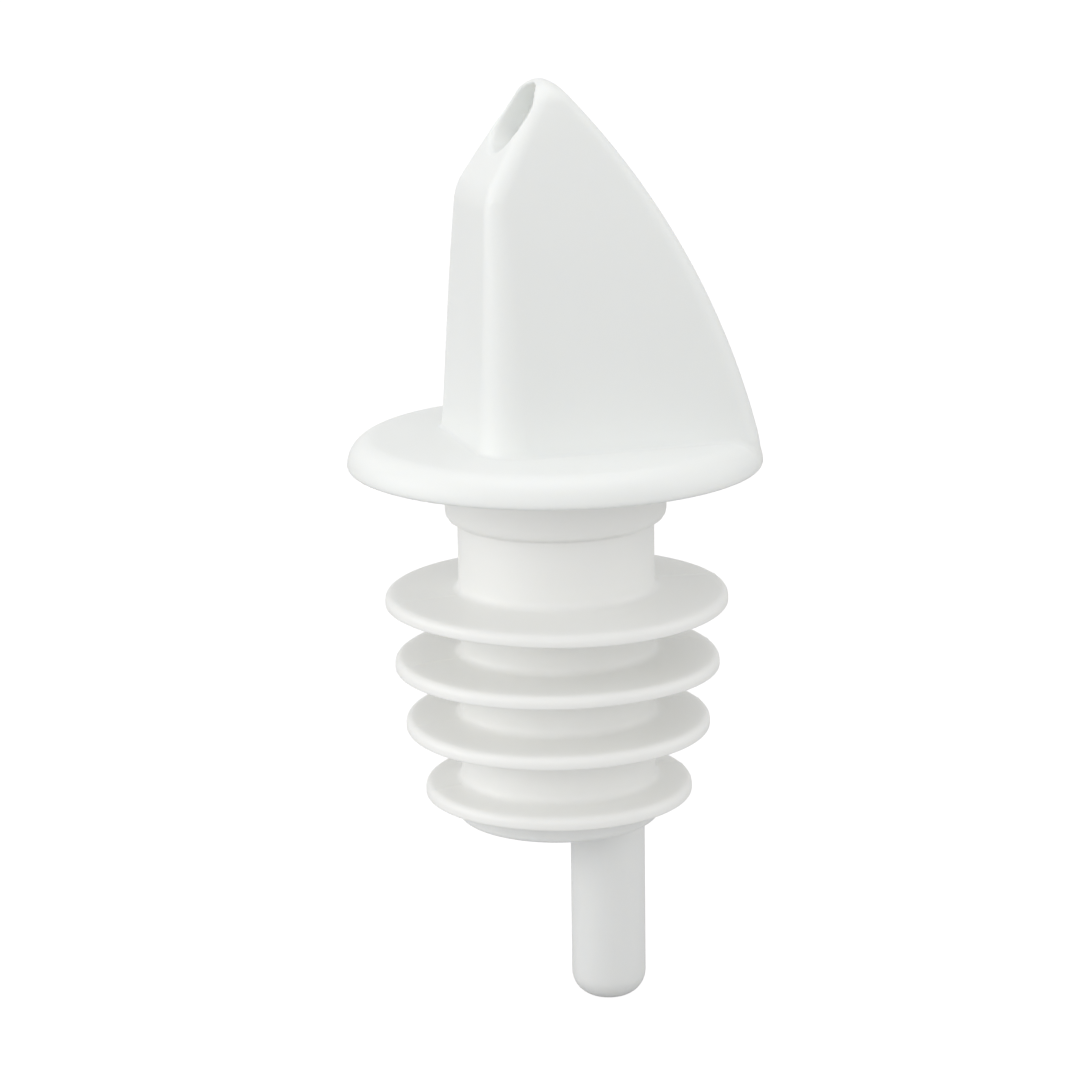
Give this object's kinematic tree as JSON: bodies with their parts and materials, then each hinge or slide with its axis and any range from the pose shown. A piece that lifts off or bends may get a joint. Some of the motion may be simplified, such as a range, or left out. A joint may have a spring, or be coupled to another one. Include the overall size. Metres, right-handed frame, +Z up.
{
  "type": "liquor pour spout",
  "caption": "Free-flow bottle pourer: slotted pointed hood on a round flange, off-centre breather tube and a soft finned stopper that the head turns in.",
  "frame": {"origin": "where the stem axis meets the flange's underside, the plane of the bottle's lip", "axes": "+Z up the stem axis to the tip, -X towards the pour slot, +X towards the hood's curved back"},
  "size_m": [0.0342, 0.0342, 0.0773],
  "materials": {
    "head_plastic": "bright white, glossy moulded",
    "core_plastic": "white, satin moulded",
    "tube_plastic": "white, satin moulded",
    "stopper_plastic": "soft milky white, slightly translucent"
  },
  "bodies": {
    "stopper": {"stopper_sleeve": "stopper_plastic"},
    "spout": {"pour_head": "head_plastic", "spigot_core": "core_plastic", "breather_tube": "tube_plastic"}
  },
  "joints": [
    {"name": "spout_swivel", "type": "hinge", "parent": "stopper", "child": "spout", "pos_m": [0, 0, 0], "axis": [0, 0, 1], "continuous": true}
  ]
}
